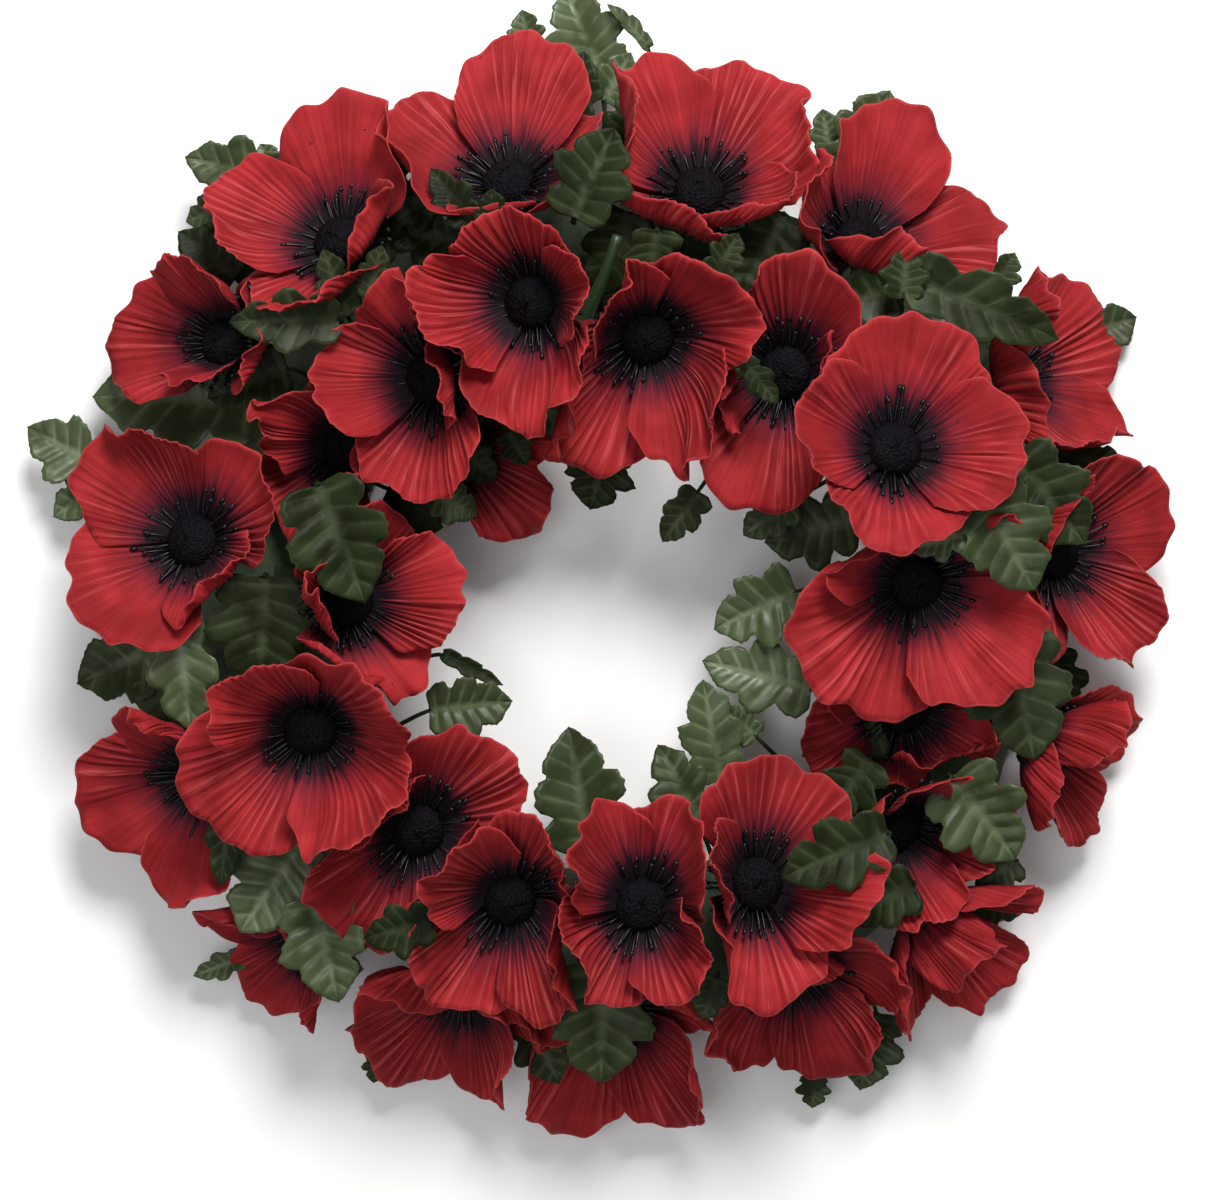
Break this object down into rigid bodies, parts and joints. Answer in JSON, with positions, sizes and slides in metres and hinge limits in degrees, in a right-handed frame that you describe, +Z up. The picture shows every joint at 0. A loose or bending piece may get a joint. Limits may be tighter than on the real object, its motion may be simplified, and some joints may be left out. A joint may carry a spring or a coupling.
{
  "type": "poppy wreath",
  "caption": "Round memorial wreath of red silk poppies and green silk leaves on a flat-backed ring, with an open centre, lying on its back.",
  "frame": {"origin": "middle of the wreath's bounding box in plan, on the surface that the flat back lies on", "axes": "+Z up, out of the wreath's face; +Y towards the top of the wreath as it is displayed; +X to its right, seen from the face"},
  "size_m": [0.4566, 0.457, 0.112],
  "materials": {
    "petal_fabric": "matte heat-set silk cloth, pleated, with a black dyed throat",
    "leaf_fabric": "satin coated silk cloth with pressed veins",
    "flower_centre": "flocked black pip and glossy black stamens",
    "stem_plastic": "satin moulded plastic",
    "ring_base": "matte, wound with floral tape"
  },
  "bodies": {
    "root": {"ring_base": "ring_base", "poppy_01": "petal_fabric", "poppy_02": "petal_fabric", "poppy_03": "petal_fabric", "poppy_04": "petal_fabric", "poppy_05": "petal_fabric", "poppy_06": "petal_fabric", "poppy_07": "petal_fabric", "poppy_08": "petal_fabric", "poppy_09": "petal_fabric", "poppy_10": "petal_fabric", "poppy_11": "petal_fabric", "poppy_12": "petal_fabric", "poppy_13": "petal_fabric", "poppy_14": "petal_fabric", "poppy_15": "petal_fabric", "poppy_16": "petal_fabric", "poppy_17": "petal_fabric", "poppy_18": "petal_fabric", "poppy_19": "petal_fabric", "poppy_20": "petal_fabric", "poppy_21": "petal_fabric", "poppy_22": "petal_fabric", "poppy_23": "petal_fabric", "poppy_24": "petal_fabric", "poppy_25": "petal_fabric", "poppy_26": "petal_fabric", "poppy_27": "petal_fabric", "poppy_28": "petal_fabric", "poppy_29": "petal_fabric", "poppy_30": "petal_fabric", "poppy_31": "petal_fabric", "leaf_spray_01": "leaf_fabric", "leaf_spray_02": "leaf_fabric", "leaf_spray_03": "leaf_fabric", "leaf_spray_04": "leaf_fabric", "leaf_spray_05": "leaf_fabric", "leaf_spray_06": "leaf_fabric", "leaf_spray_07": "leaf_fabric", "leaf_spray_08": "leaf_fabric", "leaf_spray_09": "leaf_fabric", "leaf_spray_10": "leaf_fabric", "leaf_spray_11": "leaf_fabric", "leaf_spray_12": "leaf_fabric", "leaf_spray_13": "leaf_fabric", "leaf_spray_14": "leaf_fabric", "leaf_spray_15": "leaf_fabric", "leaf_spray_16": "leaf_fabric", "leaf_spray_17": "leaf_fabric", "leaf_spray_18": "leaf_fabric", "leaf_spray_19": "leaf_fabric", "leaf_spray_20": "leaf_fabric", "leaf_spray_21": "leaf_fabric", "leaf_spray_22": "leaf_fabric", "leaf_spray_23": "leaf_fabric", "leaf_spray_24": "leaf_fabric", "leaf_spray_25": "leaf_fabric", "leaf_spray_26": "leaf_fabric", "leaf_spray_27": "leaf_fabric", "leaf_spray_28": "leaf_fabric"}
  },
  "joints": []
}
